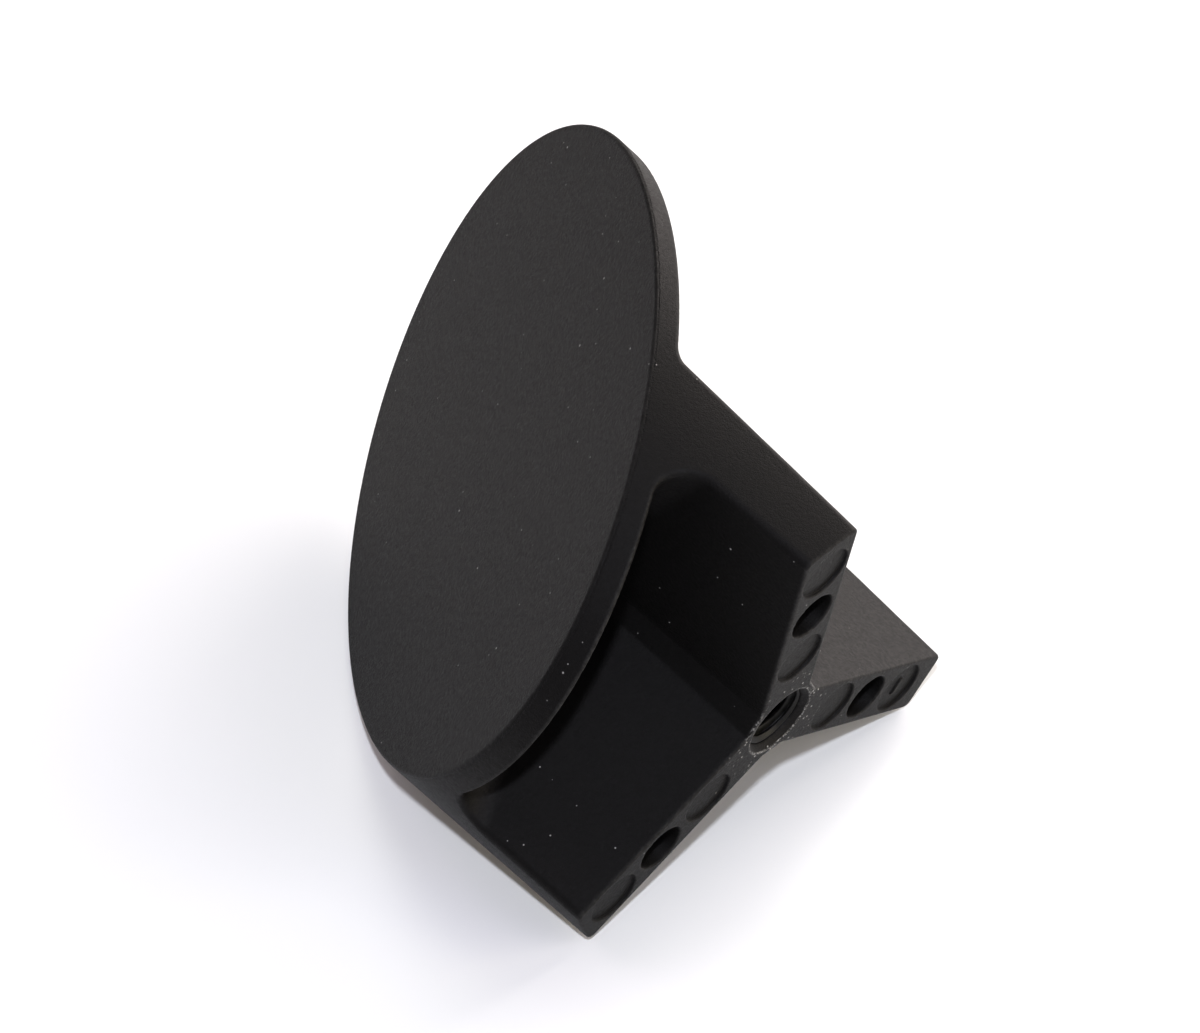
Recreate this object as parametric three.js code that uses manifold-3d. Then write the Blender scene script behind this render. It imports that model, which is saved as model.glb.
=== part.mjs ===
// Cleat horn for a boat deck. A slanted round head stands on a column of three arms, cast
// in one piece, and a wire thread insert lines the bolt hole in the foot.
// Millimetres, +Z up. The foot lies on z = 0 and the origin is under the middle of the head.

import * as THREE from 'three';
import { mergeVertices } from 'three/addons/utils/BufferGeometryUtils.js';
import Module from 'manifold-3d';

const wasm = await Module();
wasm.setup();

const radians = THREE.MathUtils.degToRad;
const slope = (angle) => Math.tan(radians(angle));

// Head: a slab with a sloping face, round as seen from above, high on the +X side.
const DRAFT = slope(1.7); // every upright wall draws in towards the foot
const HEAD_RADIUS = 36.8;
const HEAD_HEIGHT = 51.6; // of the face, above the foot, at the middle of the head
const HEAD_SLOPE = slope(45);
const HEAD_THICKNESS = 4.12; // straight up and down
const RIM_ROUND = 0.35; // edge between the rim wall and the underside
const FACE_EDGE = 0.25; // edge between the rim wall and the face

// Column: three arms at 120 degrees round the bolt hole, with one arm along +X.
const COLUMN_X = -4.9;
const HIGH_ARM = 0; // the arm under the head's high side, which stops short of the rim
const HIGH_ARM_LENGTH = 34.5; // from the column axis to its flat end, at the foot
const ARM_ANGLES = [HIGH_ARM, 120, 240];
const END_INSET = 0.05; // the other two arms end this far inside the rim wall's surface
const ARM_HALF = 4.13; // half the arm thickness, at the foot
const FLAT_DISTANCE = 5.7; // flats that cut the corners between neighbouring arms
const FILLET_RADIUS = 3.3; // between the column and the head's underside
const FILLET_SUNK = 0.5; // how far a fillet's bar reaches into the walls behind it
const FILLET_OVERRUN = 2.5; // how far it runs past the corner that it ends in

// Foot: round marks and holes in a row along each arm.
const HOLE_PITCH = 7.92;
const INNER_MARK = 12.2; // distance of the first mark from the column axis
const MARK_RADIUS = 3.5;
const MARK_DEPTH = 0.45;
const PEG_HOLE_RADIUS = 3.15;
const PEG_HOLE_DEPTH = 16;
const DRILL_POINT = 1.2; // height of the cone that ends a blind hole
const CAVITY_BAR = { long: 2.6, wide: 0.8, proud: 0.28, sunk: 0.5 }; // raised bar in one mark
const CUTTER_START = -1; // cutters begin below the foot face

// Bolt hole and its insert, an M8 wire thread insert one and a half diameters long.
const BOLT_HOLE_RADIUS = 4.15;
const BOLT_HOLE_DEPTH = 20;
const COUNTERSINK_RADIUS = 4.95;
const INSERT_START = 0.95; // below the foot face
const INSERT_LENGTH = 12;
const INSERT_OUTER = 3.85;
const INSERT_INNER = 3.35;
const INSERT_CHAMFER = 0.2;

// Fineness of the curved surfaces.
const RIM_STEPS = 144;
const ARM_END_STEPS = 10;
const FILLET_STEPS = 8;
const HOLE_STEPS = 40;
const SOLVER_ROUNDS = 12; // enough to find where an upright edge meets the slope or the rim wall

const CASTING = new THREE.MeshStandardMaterial({ color: 0x2b2a2a, roughness: 0.62, metalness: 0.1 });
const INSERT_METAL = new THREE.MeshStandardMaterial({ color: 0x3a3836, roughness: 0.4, metalness: 0.8 });

// ---- Solids from geometry ----

function makeManifold(vertProperties, triVerts) {
  return new wasm.Manifold(new wasm.Mesh({ numProp: 3, vertProperties, triVerts }));
}

function solidOf(geometry) {
  geometry.deleteAttribute('normal');
  geometry.deleteAttribute('uv');
  const merged = mergeVertices(geometry, 1e-4);
  const vertices = new Float32Array(merged.attributes.position.array);
  const triangles = new Uint32Array(merged.index.array);
  const made = makeManifold(vertices, triangles);
  return made.volume() < 0 ? makeManifold(vertices, triangles.reverse()) : made;
}

function geometryOf(solid) {
  const { vertProperties, triVerts } = solid.getMesh();
  const geometry = new THREE.BufferGeometry();
  geometry.setAttribute('position', new THREE.BufferAttribute(vertProperties, 3));
  geometry.setIndex(new THREE.BufferAttribute(triVerts, 1));
  return geometry;
}

// Triangles over a flat ring of points, turning the same way as the ring.
function capTriangles(ring) {
  const across = new THREE.Vector3().subVectors(ring[1], ring[0]).normalize();
  const normal = new THREE.Vector3();
  ring.forEach((point, i) => normal.add(new THREE.Vector3().crossVectors(point, ring[(i + 1) % ring.length])));
  normal.normalize();
  const up = new THREE.Vector3().crossVectors(normal, across);
  const flat = ring.map((point) => new THREE.Vector2(point.dot(across), point.dot(up)));
  const faces = THREE.ShapeUtils.triangulateShape(flat, []);
  const turn = (a, b, c) => THREE.ShapeUtils.area([flat[a], flat[b], flat[c]]);
  return faces.map(([a, b, c]) => (turn(a, b, c) < 0 ? [a, c, b] : [a, b, c]));
}

// A closed body through rings of points with equal counts, capped at both ends.
function loft(rings) {
  const count = rings[0].length;
  const last = (rings.length - 1) * count;
  const faces = [];
  for (let start = 0; start < last; start += count) {
    for (let i = 0; i < count; i++) {
      const here = start + i;
      const next = start + ((i + 1) % count);
      faces.push(here, next, next + count, here, next + count, here + count);
    }
  }
  capTriangles(rings[0]).forEach(([a, b, c]) => faces.push(a, c, b));
  capTriangles(rings.at(-1)).forEach(([a, b, c]) => faces.push(last + a, last + b, last + c));
  const geometry = new THREE.BufferGeometry().setFromPoints(rings.flat());
  geometry.setIndex(faces);
  return solidOf(geometry);
}

// A turned body about an upright axis at (x, y). The profile is [radius, height] pairs.
function turned(profile, x, y) {
  const points = profile.map(([radius, height]) => new THREE.Vector2(radius, height));
  const geometry = new THREE.LatheGeometry(points, HOLE_STEPS);
  geometry.rotateX(Math.PI / 2);
  geometry.translate(x, y, 0);
  return solidOf(geometry);
}

// ---- Places on the column ----

// A point at a distance along a bearing from the column axis, and aside from it.
function fromColumn(bearing, along, aside, z) {
  const angle = radians(bearing);
  const x = COLUMN_X + along * Math.cos(angle) - aside * Math.sin(angle);
  const y = along * Math.sin(angle) + aside * Math.cos(angle);
  return new THREE.Vector3(x, y, z);
}

// Radius of the rim wall's surface at a distance straight below the face.
function wallRadius(below) {
  return HEAD_RADIUS - DRAFT * below;
}

// How far a line parallel to an arm runs before it meets the rim wall's surface.
function reachOfWall(bearing, aside, z) {
  const angle = radians(bearing);
  const start = fromColumn(bearing, 0, aside, z);
  const back = start.x * Math.cos(angle) + start.y * Math.sin(angle);
  const missed = start.x ** 2 + start.y ** 2 - back ** 2;
  let along = HIGH_ARM_LENGTH;
  for (let i = 0; i < SOLVER_ROUNDS; i++) {
    const { x } = fromColumn(bearing, along, aside, z);
    const radius = wallRadius(HEAD_HEIGHT + HEAD_SLOPE * x - z) - END_INSET;
    along = Math.sqrt(radius ** 2 - missed) - back;
  }
  return along;
}

// A point on an arm's end, from side -1 to side +1, at a height.
function armEnd(bearing, side, z) {
  const aside = side * (ARM_HALF + DRAFT * z);
  const along = bearing === HIGH_ARM ? HIGH_ARM_LENGTH + DRAFT * z : reachOfWall(bearing, aside, z);
  return fromColumn(bearing, along, aside, z);
}

// Either edge, side -1 or +1, of the flat that cuts the corner between two arms.
function flatEdge(bearing, side, z) {
  const distance = FLAT_DISTANCE + DRAFT * z;
  const half = 2 * (distance * Math.cos(radians(30)) - ARM_HALF - DRAFT * z);
  return fromColumn(bearing, distance, side * half, z);
}

// The point where an upright edge, given as a function of height, meets a plane
// parallel to the face and a distance below it.
function onSlope(edge, below) {
  let z = HEAD_HEIGHT;
  for (let i = 0; i < SOLVER_ROUNDS; i++) {
    z = HEAD_HEIGHT - below + HEAD_SLOPE * edge(z).x;
  }
  return edge(z);
}

// ---- The casting ----

function headRing(radius, below) {
  const ring = [];
  for (let i = 0; i < RIM_STEPS; i++) {
    const angle = (2 * Math.PI * i) / RIM_STEPS;
    const x = radius * Math.cos(angle);
    ring.push(new THREE.Vector3(x, radius * Math.sin(angle), HEAD_HEIGHT - below + HEAD_SLOPE * x));
  }
  return ring;
}

function head() {
  const bottom = HEAD_THICKNESS - RIM_ROUND;
  const cut = RIM_ROUND * (1 - Math.SQRT1_2);
  return loft([
    headRing(wallRadius(bottom) - RIM_ROUND, HEAD_THICKNESS),
    headRing(wallRadius(bottom) - cut, HEAD_THICKNESS - cut),
    headRing(wallRadius(bottom), bottom),
    headRing(HEAD_RADIUS, FACE_EDGE),
    headRing(HEAD_RADIUS - FACE_EDGE, 0),
  ]);
}

function columnEdges() {
  const edges = [];
  for (const bearing of ARM_ANGLES) {
    edges.push((z) => flatEdge(bearing - 60, 1, z));
    for (let i = 0; i <= ARM_END_STEPS; i++) {
      edges.push((z) => armEnd(bearing, (2 * i) / ARM_END_STEPS - 1, z));
    }
    edges.push((z) => flatEdge(bearing + 60, -1, z));
  }
  return edges;
}

function column() {
  const edges = columnEdges();
  const foot = edges.map((edge) => edge(0));
  const top = edges.map((edge) => onSlope(edge, HEAD_THICKNESS / 2));
  return loft([foot, top]);
}

// What bounds the fillets: the rim wall's surface, run on down past the foot.
function filletEnvelope() {
  const lowest = HEAD_HEIGHT + HEAD_RADIUS * HEAD_SLOPE;
  const highest = HEAD_THICKNESS / 2;
  return loft([
    headRing(wallRadius(lowest) - END_INSET, lowest),
    headRing(wallRadius(highest) - END_INSET, highest),
  ]);
}

// Everything short of the high arm's end.
function shortOfHighEnd() {
  const side = 2 * HEAD_RADIUS;
  const ring = (z) => {
    const end = COLUMN_X + HIGH_ARM_LENGTH + DRAFT * z;
    const corners = [[-side, -side], [end, -side], [end, side], [-side, side]];
    return corners.map(([x, y]) => new THREE.Vector3(x, y, z));
  };
  return loft([ring(0), ring(HEAD_HEIGHT + HEAD_RADIUS)]);
}

// A bar that rounds the inner corner between one upright wall and the head's underside.
// The wall runs between two upright edges and faces along the given bearing.
function filletBar(startEdge, endEdge, bearing, overrun) {
  const start = onSlope(startEdge, HEAD_THICKNESS);
  const end = onSlope(endEdge, HEAD_THICKNESS);
  const run = new THREE.Vector3().subVectors(end, start).normalize();
  const upright = new THREE.Vector3().subVectors(startEdge(1), startEdge(0));
  const wall = new THREE.Vector3().crossVectors(run, upright).normalize();
  const outward = new THREE.Vector3(Math.cos(radians(bearing)), Math.sin(radians(bearing)), 0);
  wall.multiplyScalar(Math.sign(wall.dot(outward)));
  const under = new THREE.Vector3(HEAD_SLOPE, 0, -1).normalize();
  const middle = new THREE.Vector3().addVectors(wall, under).normalize();
  const reach = FILLET_RADIUS / middle.dot(wall);
  const profile = [middle.clone().multiplyScalar(-FILLET_SUNK)];
  const arcPoint = (share, radius) => {
    const towards = new THREE.Vector3().lerpVectors(wall, under, share).normalize();
    return middle.clone().multiplyScalar(reach).addScaledVector(towards, -radius);
  };
  profile.push(arcPoint(0, FILLET_RADIUS + FILLET_SUNK));
  for (let i = 0; i <= FILLET_STEPS; i++) {
    profile.push(arcPoint(i / FILLET_STEPS, FILLET_RADIUS));
  }
  profile.push(arcPoint(1, FILLET_RADIUS + FILLET_SUNK));
  const ringAt = (corner, beyond) =>
    profile.map((point) => point.clone().add(corner).addScaledVector(run, beyond));
  return loft([ringAt(start, -overrun), ringAt(end, overrun)]);
}

// The three fillet bars of the pocket between one arm and the next.
function pocketFillets(bearing) {
  const between = bearing + 60;
  const edges = [
    (z) => armEnd(bearing, 1, z),
    (z) => flatEdge(between, -1, z),
    (z) => flatEdge(between, 1, z),
    (z) => armEnd(bearing + 120, -1, z),
  ];
  return [0, 1, 2].map((i) => filletBar(edges[i], edges[i + 1], between, FILLET_OVERRUN));
}

// The fillet bar across the high arm's end.
function highEndFillet() {
  const edge = (side) => (z) => armEnd(HIGH_ARM, side, z);
  return filletBar(edge(-1), edge(1), HIGH_ARM, 0);
}

function footMark(bearing, distance) {
  const { x, y } = fromColumn(bearing, distance, 0, 0);
  const profile = [
    [0, CUTTER_START],
    [MARK_RADIUS, CUTTER_START],
    [MARK_RADIUS, MARK_DEPTH],
    [0, MARK_DEPTH],
  ];
  return turned(profile, x, y);
}

function pegHole(bearing) {
  const { x, y } = fromColumn(bearing, INNER_MARK + HOLE_PITCH, 0, 0);
  const profile = [
    [0, CUTTER_START],
    [PEG_HOLE_RADIUS, CUTTER_START],
    [PEG_HOLE_RADIUS, PEG_HOLE_DEPTH],
    [0, PEG_HOLE_DEPTH + DRILL_POINT],
  ];
  return turned(profile, x, y);
}

function boltHole() {
  const sink = COUNTERSINK_RADIUS - BOLT_HOLE_RADIUS;
  const profile = [
    [0, CUTTER_START],
    [COUNTERSINK_RADIUS - CUTTER_START, CUTTER_START],
    [COUNTERSINK_RADIUS, 0],
    [BOLT_HOLE_RADIUS, sink],
    [BOLT_HOLE_RADIUS, BOLT_HOLE_DEPTH],
    [0, BOLT_HOLE_DEPTH + DRILL_POINT],
  ];
  return turned(profile, COLUMN_X, 0);
}

// The raised bar that tells one mould cavity from another, in the outer mark of one arm.
function cavityBar() {
  const { long, wide, proud, sunk } = CAVITY_BAR;
  const geometry = new THREE.BoxGeometry(wide, long, proud + sunk);
  const { x, y } = fromColumn(ARM_ANGLES[0], INNER_MARK + 2 * HOLE_PITCH, 0, 0);
  geometry.translate(x, y, MARK_DEPTH + (sunk - proud) / 2);
  return solidOf(geometry);
}

function hornBody() {
  const pockets = ARM_ANGLES.flatMap(pocketFillets).reduce((all, bar) => all.add(bar));
  const fillets = pockets.intersect(shortOfHighEnd()).add(highEndFillet());
  let body = column().add(head()).add(fillets.intersect(filletEnvelope()));
  for (const bearing of ARM_ANGLES) {
    body = body.subtract(footMark(bearing, INNER_MARK));
    body = body.subtract(pegHole(bearing));
    body = body.subtract(footMark(bearing, INNER_MARK + 2 * HOLE_PITCH));
  }
  return body.subtract(boltHole()).add(cavityBar());
}

// ---- The insert ----

function threadInsert() {
  const end = INSERT_START + INSERT_LENGTH;
  const profile = [
    [INSERT_INNER, INSERT_START + INSERT_CHAMFER],
    [INSERT_INNER + INSERT_CHAMFER, INSERT_START],
    [INSERT_OUTER, INSERT_START],
    [INSERT_OUTER, end],
    [INSERT_INNER, end],
    [INSERT_INNER, INSERT_START + INSERT_CHAMFER],
  ];
  return turned(profile, COLUMN_X, 0);
}

function part(name, solid, material) {
  const mesh = new THREE.Mesh(geometryOf(solid), material);
  mesh.name = name;
  return mesh;
}

const cleatHorn = new THREE.Group();
cleatHorn.add(part('horn_body', hornBody(), CASTING));
cleatHorn.add(part('thread_insert', threadInsert(), INSERT_METAL));

export default cleatHorn;
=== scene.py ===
import math

import bmesh
import bpy
import numpy as np
from mathutils import Matrix, Vector


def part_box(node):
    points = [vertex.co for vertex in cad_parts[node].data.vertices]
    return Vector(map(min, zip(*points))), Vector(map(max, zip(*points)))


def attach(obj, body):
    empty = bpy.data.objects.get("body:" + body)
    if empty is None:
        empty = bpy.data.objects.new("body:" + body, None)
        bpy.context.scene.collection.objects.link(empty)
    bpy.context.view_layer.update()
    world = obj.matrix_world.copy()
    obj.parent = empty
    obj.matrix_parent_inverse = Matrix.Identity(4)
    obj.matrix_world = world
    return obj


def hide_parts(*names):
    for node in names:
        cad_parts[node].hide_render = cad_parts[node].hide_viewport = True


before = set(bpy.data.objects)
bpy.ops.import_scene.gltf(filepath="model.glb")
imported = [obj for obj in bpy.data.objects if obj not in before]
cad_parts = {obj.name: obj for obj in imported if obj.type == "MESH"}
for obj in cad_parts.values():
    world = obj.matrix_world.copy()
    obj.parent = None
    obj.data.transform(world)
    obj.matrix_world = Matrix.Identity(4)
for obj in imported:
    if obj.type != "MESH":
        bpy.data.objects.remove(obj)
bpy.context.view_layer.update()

MM = 0.001

# ---- Sizes of the horn, in millimetres ----

BODY_LOW, BODY_HIGH = (np.array(corner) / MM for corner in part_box("horn_body"))
HEAD_RADIUS = BODY_HIGH[1]
CAD_FACE_EDGE = 0.25  # the rounding of the face's edge in the CAD part, which takes this off its top
HEAD_HEIGHT = BODY_HIGH[2] - HEAD_RADIUS + CAD_FACE_EDGE  # of the sloping face, at its middle
HEAD_THICKNESS = 4.12  # straight up and down
DRAFT = math.tan(math.radians(1.7))  # every upright wall draws in towards the foot
RIM_ROUND = 0.35  # lower edge of the rim
FACE_EDGE = 0.5  # upper edge of the rim

INSERT_LOW, INSERT_HIGH = (np.array(corner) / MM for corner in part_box("thread_insert"))
COLUMN_X = (INSERT_LOW[0] + INSERT_HIGH[0]) / 2
HIGH_ARM_LENGTH = 34.5  # of the arm under the head's high side; the others end flush with the rim
ARM_ANGLES = (0, 120, 240)
ARM_HALF = 4.13  # half an arm's thickness, at the foot
FLAT_DISTANCE = 5.7  # from the column's axis to the flats between the arms, at the foot
FILLET_RADIUS = 3.3  # between the column and the head
CORNER_ROUND = 0.5  # upright inner corners
ARM_EDGE = 1.0  # upright edges of the arm ends
FOOT_EDGE = 0.3
HOLE_EDGE = 0.12

HOLE_PITCH = 7.92  # along an arm: inner mark, peg hole, outer mark
INNER_MARK = 12.2  # from the column's axis
MARK_RADIUS = 3.5
MARK_DEPTH = 0.45
PEG_HOLE_RADIUS = 3.15
PEG_HOLE_DEPTH = 16.0
DRILL_POINT = 1.2  # height of the cone at a hole's end
CAVITY_BAR = (0.4, 1.3, 0.28)  # half its width, half its length, and how proud it stands
BOLT_HOLE_RADIUS = 4.15
BOLT_HOLE_DEPTH = 20.0
COUNTERSINK_RADIUS = 4.95

# Thread of the insert: M8 x 1.25, right hand.
THREAD_PITCH = 1.25
THREAD_CREST = 3.35
THREAD_ROOT = 4.02
CREST_FLAT = 0.25  # in turns
ROOT_FLAT = 0.125  # in turns
INSERT_OUTER = 4.12
LEAD_IN = 0.7  # length of the cone at the thread's start
LEAD_WALL = 0.1  # thickness of the insert at its very end

# ---- Camera: where it stands, seen from the point it looks at ----

CAMERA_AIM = Vector((3.34, -0.09, 36.24)) * MM
CAMERA_DISTANCE = 0.7041
CAMERA_AZIMUTH = math.radians(-64.148)
CAMERA_ELEVATION = math.radians(-20.73)
CAMERA_ROLL = math.radians(-48.076)
CAMERA_LENS = 177.8

# The part lies on its side: this way is up, roughly, for the surface that it lies on.
UP_GUESS = Vector((-0.50, -0.85, 0.27))


# ---- Distance field of the casting ----
# Each function takes points in millimetres and gives distances that are negative inside.

def rounded_union(a, b, cosine, radius):
    """Union of two shapes with a fillet. cosine is that of the angle between their normals."""
    sine_squared = 1 - cosine * cosine
    u = a - radius
    v = b - radius
    inside = (u - cosine * v <= 0) & (v - cosine * u <= 0)
    square = (u * u + v * v - 2 * cosine * u * v) / sine_squared
    return np.where(inside, radius - np.sqrt(np.maximum(square, 0)), np.minimum(a, b))


def rounded_cut(a, b, cosine, radius):
    """Intersection of two shapes with a rounded edge."""
    return -rounded_union(-a, -b, cosine, radius)


def bearing_vector(bearing):
    angle = math.radians(bearing)
    return math.cos(angle), math.sin(angle)


def drafted_wall(p, bearing, distance):
    """Distance outside an upright plane that leans out towards the head, and its normal."""
    c, s = bearing_vector(bearing)
    scale = 1 / math.hypot(1, DRAFT)
    value = ((p[:, 0] - COLUMN_X) * c + p[:, 1] * s - distance - DRAFT * p[:, 2]) * scale
    return value, (c * scale, s * scale, -DRAFT * scale)


def under_head(p):
    """Distance below the plane of the head's underside."""
    return (HEAD_HEIGHT - HEAD_THICKNESS + p[:, 0] - p[:, 2]) * math.sqrt(0.5)


def column_walls(p, between):
    """The three walls round one pocket: two arms' sides and the flat between them."""
    return (
        drafted_wall(p, between + 30, ARM_HALF),
        drafted_wall(p, between - 30, ARM_HALF),
        drafted_wall(p, between, FLAT_DISTANCE),
    )


def pocket(p, between, head_value):
    """The column round one pocket, with its fillets to the head."""
    shapes = []
    for value, normal in column_walls(p, between):
        cosine = (normal[0] - normal[2]) * math.sqrt(0.5)
        shapes.append(rounded_union(value, head_value, cosine, FILLET_RADIUS))
    corner = math.cos(math.radians(30))
    first = rounded_union(shapes[0], shapes[2], corner, CORNER_ROUND)
    second = rounded_union(shapes[1], shapes[2], corner, CORNER_ROUND)
    return np.minimum(first, second)


def endless_column(p, head_value):
    """The column and the head as one, with arms that run on for ever."""
    bearing = np.degrees(np.arctan2(p[:, 1], p[:, 0] - COLUMN_X)) % 360
    sector = (bearing // 120).astype(int) % 3
    value = np.empty(len(p))
    for index, start in enumerate(ARM_ANGLES):
        here = sector == index
        value[here] = pocket(p[here], start + 60, head_value[here])
    return value


def rim_wall(p):
    """Distance outside the rim wall, run on down to the foot, and its cosine with the underside."""
    radius = np.maximum(np.hypot(p[:, 0], p[:, 1]), 1e-6)
    below = HEAD_HEIGHT + p[:, 0] - p[:, 2]
    slope_x = p[:, 0] / radius + DRAFT
    steep = np.sqrt(slope_x ** 2 + (p[:, 1] / radius) ** 2 + DRAFT ** 2)
    wall = (radius - HEAD_RADIUS + DRAFT * below) / steep
    return wall, (slope_x + DRAFT) / steep * math.sqrt(0.5)


def high_arm_fillet(p, end, head_value):
    """The fillet between the head and the end of the arm under its high side."""
    fillet = rounded_union(end, head_value, math.sqrt(0.5), FILLET_RADIUS)
    sides = np.abs(p[:, 1]) - ARM_HALF - DRAFT * p[:, 2]
    behind = COLUMN_X + HIGH_ARM_LENGTH / 2 - p[:, 0]
    return rounded_cut(fillet, np.maximum(sides, behind), 0.0, ARM_EDGE)


def casting_outside(p):
    """The casting before its holes are cut."""
    under = under_head(p)
    endless = endless_column(p, under)
    end, _ = drafted_wall(p, 0, HIGH_ARM_LENGTH)
    arm = rounded_cut(endless, end, 0.0, ARM_EDGE)
    arm = np.minimum(np.minimum(arm, under), high_arm_fillet(p, end, under))
    high_side = p[:, 0] - COLUMN_X > np.abs(p[:, 1]) * math.tan(math.radians(30))
    inside = np.where(high_side, arm, endless)
    rim, cosine = rim_wall(p)
    at_rim = np.clip(1 - (under - inside), 0, 1)
    body = rounded_cut(inside, rim, cosine * at_rim, ARM_EDGE + (RIM_ROUND - ARM_EDGE) * at_rim)
    face = (p[:, 2] - p[:, 0] - HEAD_HEIGHT) * math.sqrt(0.5)
    body = rounded_cut(body, face, -cosine, FACE_EDGE)
    return rounded_cut(body, -p[:, 2], 0.0, FOOT_EDGE)


def hole_distance(p, bearing, along):
    c, s = bearing_vector(bearing)
    return np.hypot(p[:, 0] - COLUMN_X - along * c, p[:, 1] - along * s)


def casting(p):
    value = casting_outside(p)
    for bearing in ARM_ANGLES:
        for along in (INNER_MARK, INNER_MARK + 2 * HOLE_PITCH):
            mark = np.maximum(hole_distance(p, bearing, along) - MARK_RADIUS, p[:, 2] - MARK_DEPTH)
            value = rounded_cut(value, -mark, 0.0, HOLE_EDGE)
        radius = hole_distance(p, bearing, INNER_MARK + HOLE_PITCH)
        point = PEG_HOLE_DEPTH + DRILL_POINT * (1 - radius / PEG_HOLE_RADIUS)
        hole = np.maximum(radius - PEG_HOLE_RADIUS, p[:, 2] - point)
        value = rounded_cut(value, -hole, 0.0, HOLE_EDGE)
    radius = hole_distance(p, 0, 0)
    point = BOLT_HOLE_DEPTH + DRILL_POINT * (1 - radius / BOLT_HOLE_RADIUS)
    sink = (radius + p[:, 2] - COUNTERSINK_RADIUS) * math.sqrt(0.5)
    hole = np.maximum(np.minimum(radius - BOLT_HOLE_RADIUS, sink), p[:, 2] - point)
    value = rounded_cut(value, -hole, 0.0, HOLE_EDGE)
    return np.minimum(value, cavity_bar(p))


def cavity_bar(p):
    """A raised bar in the outer mark of the first arm."""
    half_width, half_length, proud = CAVITY_BAR
    dx = np.abs(p[:, 0] - COLUMN_X - INNER_MARK - 2 * HOLE_PITCH) - half_width + HOLE_EDGE
    dy = np.abs(p[:, 1]) - half_length + HOLE_EDGE
    dz = np.abs(p[:, 2] - MARK_DEPTH) - proud + HOLE_EDGE
    past = np.maximum(np.stack([dx, dy, dz]), 0)
    depth = np.minimum(np.maximum(dx, np.maximum(dy, dz)), 0)
    return np.sqrt((past * past).sum(0)) + depth - HOLE_EDGE


# ---- Points on the surface of a distance field ----

CHUNK = 400_000  # points worked out at once
SETTLE_REACH = 0.004
LEAST_SLOPE = 0.25  # squared; it keeps points near a crease from being thrown far


def evaluate(field, points):
    parts = [field(points[i:i + CHUNK]) for i in range(0, len(points), CHUNK)]
    return np.concatenate(parts)


def gradient(field, points, reach):
    columns = []
    for axis in range(3):
        shift = np.zeros(3)
        shift[axis] = reach
        columns.append(evaluate(field, points + shift) - evaluate(field, points - shift))
    return np.stack(columns, 1) / (2 * reach)


def settle(field, points, rounds):
    """Moves points onto the surface of the field."""
    for _ in range(rounds):
        slope = gradient(field, points, SETTLE_REACH)
        size = np.maximum((slope * slope).sum(1), LEAST_SLOPE)
        points = points - slope * (evaluate(field, points) / size)[:, None]
    return points


# ---- Surface of a distance field, as a mesh of quads ----

BLOCK = 8  # cells along a block's side
BLOCK_REACH = 1.3  # blocks; the surface is nearer than this to the middle of each block it crosses
BATCH = 400  # blocks worked out at once


def active_blocks(field, low, high, step):
    """Blocks of cells that the surface may cross, by their first lattice point."""
    counts = np.ceil((high - low) / (step * BLOCK)).astype(int)
    grid = np.stack(np.meshgrid(*(np.arange(n) for n in counts), indexing="ij"), -1).reshape(-1, 3)
    centres = low + (grid + 0.5) * step * BLOCK
    near = np.abs(evaluate(field, centres)) < step * BLOCK * BLOCK_REACH
    return grid[near] * BLOCK


def lattice_edges(field, low, step, blocks):
    """Lattice edges that cross the surface: first point, axis, direction and crossing."""
    side = np.arange(BLOCK + 1)
    local = np.stack(np.meshgrid(side, side, side, indexing="ij"), -1).reshape(-1, 3)
    starts, axes, signs, crossings = [], [], [], []
    for i in range(0, len(blocks), BATCH):
        points = (blocks[i:i + BATCH, None] + local[None]).reshape(-1, 3)
        values = evaluate(field, low + points * step).reshape(-1, *(BLOCK + 1,) * 3)
        points = points.reshape(-1, *(BLOCK + 1,) * 3, 3)
        first = values[:, :-1, :-1, :-1]
        for axis in range(3):
            ends = [slice(None)] + [slice(1, None) if a == axis else slice(0, -1) for a in range(3)]
            last = values[tuple(ends)]
            crossed = (first < 0) != (last < 0)
            f = first[crossed]
            g = last[crossed]
            start = points[:, :-1, :-1, :-1][crossed]
            crossing = start.astype(float)
            crossing[:, axis] += f / (f - g)
            starts.append(start)
            axes.append(np.full(len(f), axis))
            signs.append(f < 0)
            crossings.append(low + crossing * step)
    return tuple(np.concatenate(item) for item in (starts, axes, signs, crossings))


def surface_mesh(field, low, high, step):
    """Vertices and quads of the surface, one vertex in each cell that it crosses."""
    blocks = active_blocks(field, low, high, step)
    starts, axes, signs, crossings = lattice_edges(field, low, step, blocks)
    span = np.ceil((high - low) / step).astype(int) + 2 * BLOCK
    keys = np.empty((len(starts), 4), np.int64)
    for axis in range(3):
        u = (axis + 1) % 3
        v = (axis + 2) % 3
        here = axes == axis
        for corner, (du, dv) in enumerate(((0, 0), (1, 0), (1, 1), (0, 1))):
            cell = starts[here].astype(np.int64)
            cell[:, u] -= du
            cell[:, v] -= dv
            keys[here, corner] = (cell[:, 0] * span[1] + cell[:, 1]) * span[2] + cell[:, 2]
    cells, quads = np.unique(keys, return_inverse=True)
    quads = quads.reshape(-1, 4)
    quads[~signs] = quads[~signs][:, ::-1]
    corners = quads.ravel()
    counts = np.bincount(corners, minlength=len(cells))
    columns = []
    for axis in range(3):
        total = np.bincount(corners, np.repeat(crossings[:, axis], 4), len(cells))
        columns.append(total / counts)
    return np.stack(columns, 1), quads


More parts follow.
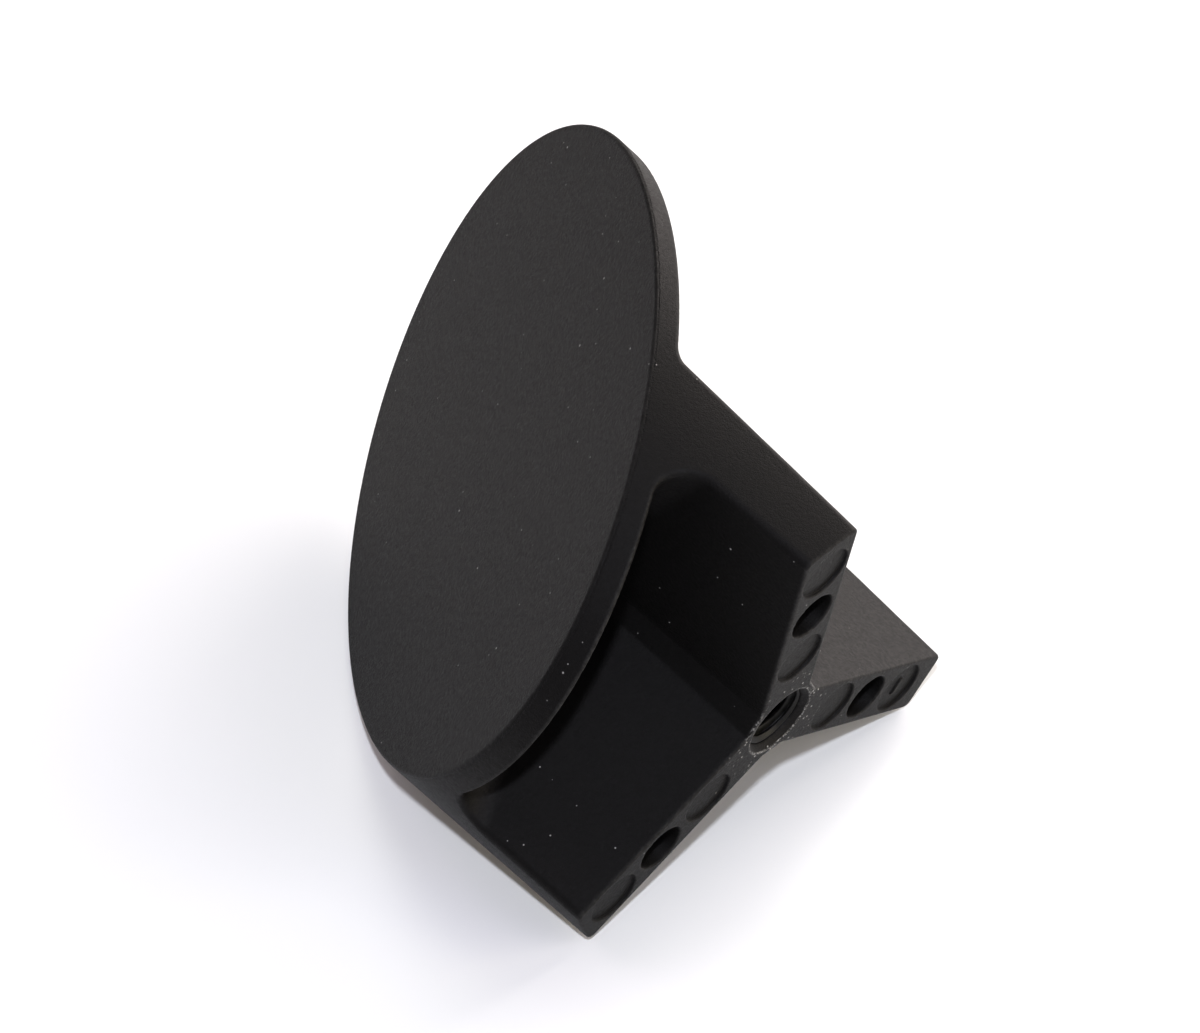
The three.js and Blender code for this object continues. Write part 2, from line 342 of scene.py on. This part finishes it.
def mesh_from(name, vertices, faces):
    """A mesh in metres from vertices in millimetres and faces with equal corner counts."""
    mesh = bpy.data.meshes.new(name)
    sides = faces.shape[1]
    mesh.vertices.add(len(vertices))
    mesh.vertices.foreach_set("co", (vertices * MM).astype(np.float32).ravel())
    mesh.loops.add(faces.size)
    mesh.loops.foreach_set("vertex_index", faces.astype(np.int32).ravel())
    mesh.polygons.add(len(faces))
    mesh.polygons.foreach_set("loop_start", np.arange(0, faces.size, sides, dtype=np.int32))
    mesh.polygons.foreach_set("use_smooth", np.ones(len(faces), bool))
    mesh.update(calc_edges=True)
    return mesh


def place(name, mesh):
    obj = bpy.data.objects.new(name, mesh)
    bpy.context.scene.collection.objects.link(obj)
    return obj


def mesh_points(mesh):
    points = np.empty(len(mesh.vertices) * 3, np.float32)
    mesh.vertices.foreach_get("co", points)
    return points.reshape(-1, 3).astype(float) / MM


# ---- Casting ----

CELL = 0.32
MARGIN = 1.5  # of cells round the CAD part
TARGET_TRIANGLES = 150_000
NORMAL_REACH = 0.03
CURVATURE_REACH = 0.35


def edge_sharpness(field, points):
    """How sharply the surface bends outwards at each point, from 0 to 1."""
    total = -6 * evaluate(field, points)
    for axis in range(3):
        for side in (-1, 1):
            shift = np.zeros(3)
            shift[axis] = side * CURVATURE_REACH
            total = total + evaluate(field, points + shift)
    return np.clip(total / CURVATURE_REACH, 0, 1)


def thinned(obj, ratio):
    """The object's mesh with fewer faces where it is flat."""
    modifier = obj.modifiers.new("thin", "DECIMATE")
    modifier.ratio = ratio
    graph = bpy.context.evaluated_depsgraph_get()
    mesh = bpy.data.meshes.new_from_object(obj.evaluated_get(graph), depsgraph=graph)
    obj.modifiers.clear()
    return mesh


def finish_surface(mesh, field):
    """Puts the vertices back on the surface and gives them its own normals."""
    points = settle(field, mesh_points(mesh), 1)
    mesh.vertices.foreach_set("co", (points * MM).astype(np.float32).ravel())
    normals = gradient(field, points, NORMAL_REACH)
    normals /= np.maximum(np.linalg.norm(normals, axis=1), 1e-9)[:, None]
    mesh.polygons.foreach_set("use_smooth", np.ones(len(mesh.polygons), bool))
    mesh.update()
    mesh.normals_split_custom_set_from_vertices(normals.astype(np.float32).tolist())
    worn = mesh.attributes.new("edge", "FLOAT", "POINT")
    worn.data.foreach_set("value", edge_sharpness(field, points).astype(np.float32))


def make_casting():
    cell = CELL
    vertices, quads = surface_mesh(casting, BODY_LOW - MARGIN, BODY_HIGH + MARGIN, cell)
    vertices = settle(casting, vertices, 2)
    horn = place("horn_casting", mesh_from("horn_rough", vertices, quads))
    mesh = thinned(horn, min(1.0, TARGET_TRIANGLES / (2 * len(quads))))
    finish_surface(mesh, casting)
    mesh.name = "horn_casting"
    horn.data = mesh
    return horn


# ---- Thread insert ----

THREAD_SIDES = 128
THREAD_STEPS = 20  # rings of vertices in each turn
RING_ANGLES = np.arange(THREAD_SIDES) * 2 * math.pi / THREAD_SIDES


def thread_radius(turns):
    """Radius of the thread's surface where it is that many turns along its pitch."""
    phase = turns % 1.0
    span = 0.5 - ROOT_FLAT / 2 - CREST_FLAT / 2
    flank = np.clip((np.abs(phase - 0.5) - ROOT_FLAT / 2) / span, 0, 1)
    return THREAD_ROOT + (THREAD_CREST - THREAD_ROOT) * flank


def insert_rings():
    """Radii and height of each ring of vertices: up the thread, then the outside."""
    low = INSERT_LOW[2]
    high = INSERT_HIGH[2]
    rows = int((high - low) / THREAD_PITCH * THREAD_STEPS)
    rings = []
    for z in np.linspace(low, high, rows + 1):
        radius = thread_radius((z - low) / THREAD_PITCH - RING_ANGLES / (2 * math.pi))
        if z < low + LEAD_IN:
            radius = np.maximum(radius, INSERT_OUTER - LEAD_WALL - (z - low))
        rings.append((radius, z))
    for z in (high, low):
        rings.append((np.full(THREAD_SIDES, INSERT_OUTER), z))
    return rings


def ring_points(radius, z):
    x = COLUMN_X + radius * np.cos(RING_ANGLES)
    y = radius * np.sin(RING_ANGLES)
    return np.stack([x, y, np.full(THREAD_SIDES, z)], 1)


def make_insert():
    rings = insert_rings()
    here = np.arange(THREAD_SIDES)
    beside = (here + 1) % THREAD_SIDES
    faces = []
    for k in range(len(rings)):
        a = k * THREAD_SIDES
        b = (k + 1) % len(rings) * THREAD_SIDES
        faces.append(np.stack([a + here, b + here, b + beside, a + beside], 1))
    vertices = np.concatenate([ring_points(radius, z) for radius, z in rings])
    mesh = mesh_from("thread_coil", vertices, np.concatenate(faces))
    mesh.shade_smooth()
    return place("thread_coil", mesh)


# ---- Materials ----

# Lengths are in millimetres. A pair is where a mark starts to show and where it shows in full.
SEAM_BELOW_FACE = 0.5
SEAM_WANDER = 0.05
SEAM_HALF_WIDTH = (0.2, 0.06)
SEAM_DEPTH = 0.06
ON_FACE = (0.15, 0.05)  # below the slanted face
ON_FOOT = (0.4, 0.15)  # above the foot
CHIPS_REACH = 9.0  # from the middle of the bolt hole
LIP_REACH = 6.8
FULL_SHARE = 0.35  # of a reach, within which a mark shows in full
GRAIN_DEPTH = 0.055
WIRE_DEPTH = 0.01


class Nodes:
    """Short calls for building a node material."""

    def __init__(self, name):
        self.material = bpy.data.materials.new(name)
        self.material.use_nodes = True
        self.tree = self.material.node_tree
        self.shader = self.tree.nodes["Principled BSDF"]

    def add(self, kind, **settings):
        node = self.tree.nodes.new(kind)
        for key, value in settings.items():
            setattr(node, key, value)
        return node

    def feed(self, socket, value):
        if isinstance(value, bpy.types.NodeSocket):
            self.tree.links.new(value, socket)
        else:
            socket.default_value = value

    def place(self):
        return self.add("ShaderNodeTexCoord").outputs["Object"]

    def axes(self):
        """The three coordinates of a point of the part."""
        node = self.add("ShaderNodeSeparateXYZ")
        self.feed(node.inputs[0], self.place())
        return node.outputs

    def noise(self, size_mm, detail=4.0, rough=0.55):
        node = self.add("ShaderNodeTexNoise")
        self.feed(node.inputs["Vector"], self.place())
        node.inputs["Scale"].default_value = 1 / (size_mm * MM)
        node.inputs["Detail"].default_value = detail
        node.inputs["Roughness"].default_value = rough
        return node.outputs["Fac"]

    def specks(self, spacing_mm, size_mm, share):
        """1 on dots of a size, one in each of a share of the cells, and 0 between them."""
        node = self.add("ShaderNodeTexVoronoi", feature="F1")
        self.feed(node.inputs["Vector"], self.place())
        node.inputs["Scale"].default_value = 1 / (spacing_mm * MM)
        radius = size_mm / spacing_mm
        near = self.ramp(node.outputs["Distance"], radius, radius * 0.6)
        chosen = self.add("ShaderNodeSeparateColor")
        self.feed(chosen.inputs[0], node.outputs["Color"])
        kept = self.ramp(chosen.outputs[0], 1 - share, 1 - share + 0.02)
        return self.maths("MULTIPLY", near, kept)

    def ramp(self, value, start, end, low=0.0, high=1.0):
        node = self.add("ShaderNodeMapRange", clamp=True)
        self.feed(node.inputs["Value"], value)
        for key, number in (("From Min", start), ("From Max", end), ("To Min", low), ("To Max", high)):
            node.inputs[key].default_value = number
        return node.outputs[0]

    def maths(self, operation, a, b=0.0):
        node = self.add("ShaderNodeMath", operation=operation)
        self.feed(node.inputs[0], a)
        self.feed(node.inputs[1], b)
        return node.outputs[0]

    def mix(self, share, a, b):
        node = self.add("ShaderNodeMix", data_type="RGBA")
        self.feed(node.inputs["Factor"], share)
        self.feed(node.inputs["A"], a)
        self.feed(node.inputs["B"], b)
        return node.outputs["Result"]

    def bump(self, height, depth_mm, below=None):
        node = self.add("ShaderNodeBump")
        self.feed(node.inputs["Height"], height)
        node.inputs["Distance"].default_value = depth_mm * MM
        node.inputs["Strength"].default_value = 1.0
        if below is not None:
            self.feed(node.inputs["Normal"], below)
        return node.outputs["Normal"]

    def attribute(self, name):
        return self.add("ShaderNodeAttribute", attribute_name=name).outputs["Fac"]


def grey(value, warmth=0.0):
    return (value * (1 + warmth), value, value * (1 - warmth), 1.0)


def near_hole(n, reach_mm):
    """1 at the bolt hole's mouth, falling to 0 at a distance from its middle, on the foot only."""
    node = n.add("ShaderNodeVectorMath", operation="DISTANCE")
    n.feed(node.inputs[0], n.place())
    node.inputs[1].default_value = (COLUMN_X * MM, 0.0, 0.0)
    near = n.ramp(node.outputs["Value"], reach_mm * MM, reach_mm * FULL_SHARE * MM)
    on_foot = n.ramp(n.axes()["Z"], ON_FOOT[0] * MM, ON_FOOT[1] * MM)
    return n.maths("MULTIPLY", near, on_foot)


def below_face(n):
    """How far the slanted face stands above a point, in metres."""
    axes = n.axes()
    fall = n.maths("SUBTRACT", axes["X"], axes["Z"])
    return n.maths("ADD", fall, HEAD_HEIGHT * MM)


def parting_line(n):
    """A thin uneven seam on the rim wall, just under the face's edge."""
    below = n.maths("SUBTRACT", below_face(n), SEAM_BELOW_FACE * MM)
    wander = n.ramp(n.noise(2.5, 3.0, 0.6), 0.3, 0.7, -SEAM_WANDER * MM, SEAM_WANDER * MM)
    near = n.maths("ABSOLUTE", n.maths("ADD", below, wander))
    line = n.ramp(near, SEAM_HALF_WIDTH[0] * MM, SEAM_HALF_WIDTH[1] * MM)
    return n.maths("MULTIPLY", line, n.ramp(n.noise(0.6, 4.0, 0.7), 0.42, 0.56, 0.1, 1.0))


def coat_colour(n, grain):
    """The black coat: fine grain, soft patches, and light flecks on the head's face."""
    colour = n.mix(n.ramp(grain, 0.36, 0.66), grey(0.0004, 0.08), grey(0.0022, 0.1))
    patches = n.ramp(n.noise(3.5, 5.0, 0.6), 0.35, 0.7, 0.0, 0.35)
    colour = n.mix(patches, colour, grey(0.0018, 0.1))
    on_face = n.ramp(below_face(n), ON_FACE[0] * MM, ON_FACE[1] * MM)
    flecks = n.ramp(n.noise(0.28, 3.0, 0.75), 0.5, 0.64)
    return n.mix(n.maths("MULTIPLY", flecks, on_face), colour, grey(0.007, 0.12))


def worn_edges(n, edge):
    """Where the coat is rubbed thin, in patches along the edges."""
    patches = n.ramp(n.noise(0.8, 4.0, 0.7), 0.45, 0.65, 0.2, 1.0)
    return n.maths("MULTIPLY", n.ramp(edge, 0.3, 1.0), patches)


def hole_chips(n, edge):
    """Bare specks round the bolt hole and a broken bare line along its lip."""
    crumbs = n.ramp(n.noise(0.25, 4.0, 0.7), 0.5, 0.6)
    lip = n.maths("MULTIPLY", n.ramp(edge, 0.45, 0.8), crumbs)
    lip = n.maths("MULTIPLY", lip, near_hole(n, LIP_REACH))
    specks = n.maths("MULTIPLY", n.specks(0.6, 0.16, 0.4), near_hole(n, CHIPS_REACH))
    return n.maths("MAXIMUM", specks, lip)


def casting_material():
    n = Nodes("black_casting")
    grain = n.noise(0.16, 3.0, 0.65)
    edge = n.attribute("edge")
    seam = parting_line(n)
    dust = n.maths("MAXIMUM", n.specks(2.0, 0.11, 0.4), n.specks(5.0, 0.17, 0.6))
    colour = coat_colour(n, grain)
    colour = n.mix(n.maths("MULTIPLY", seam, 0.85), colour, grey(0.0005))
    colour = n.mix(n.maths("MULTIPLY", worn_edges(n, edge), 0.12), colour, grey(0.12, 0.04))
    colour = n.mix(n.maths("MULTIPLY", dust, 0.7), colour, grey(0.38, 0.03))
    colour = n.mix(n.maths("MULTIPLY", hole_chips(n, edge), 0.9), colour, grey(0.6, 0.03))
    n.feed(n.shader.inputs["Base Color"], colour)
    n.feed(n.shader.inputs["Roughness"], n.ramp(n.noise(0.5, 3.0, 0.6), 0.3, 0.7, 0.52, 0.64))
    n.shader.inputs["Specular IOR Level"].default_value = 0.13
    n.shader.inputs["Specular Tint"].default_value = (1.0, 0.96, 0.97, 1.0)
    coarse = n.bump(n.noise(0.4, 3.0, 0.6), GRAIN_DEPTH)
    fine = n.bump(grain, GRAIN_DEPTH, coarse)
    n.feed(n.shader.inputs["Normal"], n.bump(n.maths("SUBTRACT", 1.0, seam), SEAM_DEPTH, fine))
    return n.material


def insert_material():
    n = Nodes("coated_wire")
    stain = n.noise(0.7, 4.0, 0.6)
    colour = n.mix(n.ramp(stain, 0.35, 0.7), grey(0.001, 0.05), grey(0.008, 0.08))
    n.feed(n.shader.inputs["Base Color"], colour)
    n.feed(n.shader.inputs["Roughness"], n.ramp(stain, 0.3, 0.7, 0.36, 0.52))
    n.shader.inputs["Specular IOR Level"].default_value = 0.15
    n.feed(n.shader.inputs["Normal"], n.bump(n.noise(0.12, 2.0, 0.5), WIRE_DEPTH))
    return n.material


def floor_material():
    """A pale matt sheet that shows from above only."""
    n = Nodes("pale_floor")
    n.shader.inputs["Base Color"].default_value = grey(0.82)
    n.shader.inputs["Roughness"].default_value = 0.7
    clear = n.add("ShaderNodeBsdfTransparent").outputs[0]
    mixer = n.add("ShaderNodeMixShader")
    n.feed(mixer.inputs["Fac"], n.add("ShaderNodeNewGeometry").outputs["Backfacing"])
    n.feed(mixer.inputs[1], n.shader.outputs[0])
    n.feed(mixer.inputs[2], clear)
    n.feed(n.tree.nodes["Material Output"].inputs["Surface"], mixer.outputs[0])
    return n.material


# ---- Stage ----

FLOOR_HALF = 2.0
FLOOR_GAP = 0.00005  # metres; keeps the floor and the part from sharing a plane
KEY_DISTANCE = 0.75
KEY_SIZE = 0.03
WINDOW_DISTANCE = 0.9
WINDOW_SIZE = 0.6


def resting_plane(mesh):
    """The plane that the part lies on: a point in it and the way up."""
    hull = bmesh.new()
    hull.from_mesh(mesh)
    bmesh.ops.convex_hull(hull, input=list(hull.verts))
    hull.normal_update()
    side = min(hull.faces, key=lambda face: face.normal.dot(UP_GUESS))
    point = side.calc_center_median()
    up = -side.normal.normalized()
    hull.free()
    return point, up


def make_floor(point, up):
    corners = [(x * FLOOR_HALF, y * FLOOR_HALF, 0) for x, y in ((-1, -1), (1, -1), (1, 1), (-1, 1))]
    mesh = bpy.data.meshes.new("floor")
    mesh.from_pydata(corners, [], [(0, 1, 2, 3)])
    mesh.materials.append(floor_material())
    floor = place("floor", mesh)
    turn = Vector((0, 0, 1)).rotation_difference(up).to_matrix().to_4x4()
    floor.matrix_world = Matrix.Translation(point - up * FLOOR_GAP) @ turn


def camera_axes():
    """Right, up and forward of the camera."""
    level = math.cos(CAMERA_ELEVATION)
    forward = Vector((
        -math.sin(CAMERA_AZIMUTH) * level,
        math.cos(CAMERA_AZIMUTH) * level,
        -math.sin(CAMERA_ELEVATION),
    ))
    flat_right = forward.cross(Vector((0, 0, 1))).normalized()
    flat_up = flat_right.cross(forward)
    right = flat_right * math.cos(CAMERA_ROLL) + flat_up * math.sin(CAMERA_ROLL)
    return right, right.cross(forward), forward


def make_camera():
    data = bpy.data.cameras.new("camera")
    data.lens = CAMERA_LENS
    data.sensor_width = 36.0
    data.clip_end = 10.0
    camera = bpy.data.objects.new("camera", data)
    bpy.context.scene.collection.objects.link(camera)
    right, up, forward = camera_axes()
    turn = Matrix((right, up, -forward)).transposed().to_4x4()
    camera.matrix_world = Matrix.Translation(CAMERA_AIM - forward * CAMERA_DISTANCE) @ turn
    bpy.context.scene.camera = camera


def make_light(name, direction, distance, size, power, colour):
    """A square light that shines at the part from a direction in the camera's axes."""
    right, up, forward = camera_axes()
    outward = (right * direction[0] + up * direction[1] - forward * direction[2]).normalized()
    data = bpy.data.lights.new(name, "AREA")
    data.size = size
    data.energy = power
    data.color = colour
    light = bpy.data.objects.new(name, data)
    bpy.context.scene.collection.objects.link(light)
    turn = outward.to_track_quat("Z", "Y").to_matrix().to_4x4()
    light.matrix_world = Matrix.Translation(CAMERA_AIM + outward * distance) @ turn


def make_window(name, direction, power, colour):
    make_light(name, direction, WINDOW_DISTANCE, WINDOW_SIZE, power, colour)


def make_lights():
    make_light("key_lamp", (0.0, 0.14, 1.0), KEY_DISTANCE, KEY_SIZE, 4.3, (0.865, 0.906, 1.0))
    make_window("right_window", (1.0, 0.0, 0.35), 5.1, (1.0, 0.9, 0.6))
    make_window("top_window", (0.0, 1.0, 0.2), 2.8, (1.0, 1.0, 0.92))
    make_window("left_window", (-0.75, 0.75, 0.3), 2.0, (1.0, 0.86, 0.94))
    make_window("front_window", (0.8, 0.1, 0.8), 2.9, (0.86, 0.84, 1.0))
    make_window("back_window", (0.7, 0.8, -0.3), 10.7, (1.0, 0.92, 0.885))


def make_world():
    world = bpy.data.worlds.new("studio")
    world.use_nodes = True
    background = world.node_tree.nodes["Background"]
    background.inputs["Color"].default_value = (0.96, 0.98, 1.0, 1.0)
    background.inputs["Strength"].default_value = 0.06
    bpy.context.scene.world = world
    bpy.context.scene.view_settings.view_transform = "Standard"


# ---- Assembly ----

def add_piece(piece, node, material):
    piece.data.materials.clear()
    piece.data.materials.append(material)
    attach(piece, "root")
    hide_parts(node)


make_camera()
make_lights()
make_world()
make_floor(*resting_plane(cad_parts["horn_body"].data))
add_piece(make_casting(), "horn_body", casting_material())
add_piece(make_insert(), "thread_insert", insert_material())
